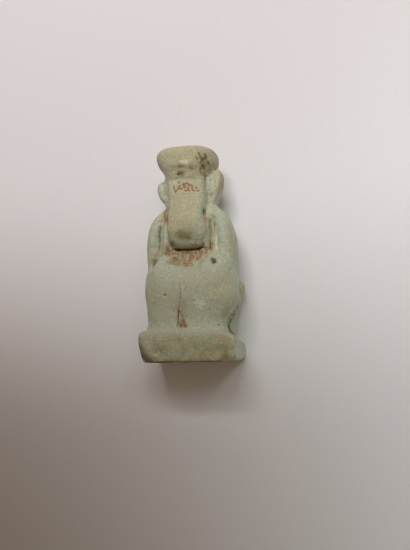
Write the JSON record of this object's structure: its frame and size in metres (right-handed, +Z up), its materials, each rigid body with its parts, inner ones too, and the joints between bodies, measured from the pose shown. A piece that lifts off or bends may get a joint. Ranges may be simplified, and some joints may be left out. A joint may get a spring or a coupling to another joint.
{
  "type": "deity amulet",
  "caption": "Standing animal-headed deity amulet in worn pale blue-green faience, with a flaring headdress, a long muzzle, a back pillar pierced for a cord and a plinth, lying on its back.",
  "frame": {"origin": "middle of the bounding box at the level of the surface that the amulet lies on", "axes": "+Y from the foot of the plinth towards the headdress, +Z up out of the front of the figure, +X towards its larger ear"},
  "size_m": [0.0166, 0.0352, 0.0131],
  "materials": {
    "worn_faience": "matt from wear, with dirt in the recesses"
  },
  "bodies": {
    "root": {"deity_amulet": "worn_faience"}
  },
  "joints": []
}
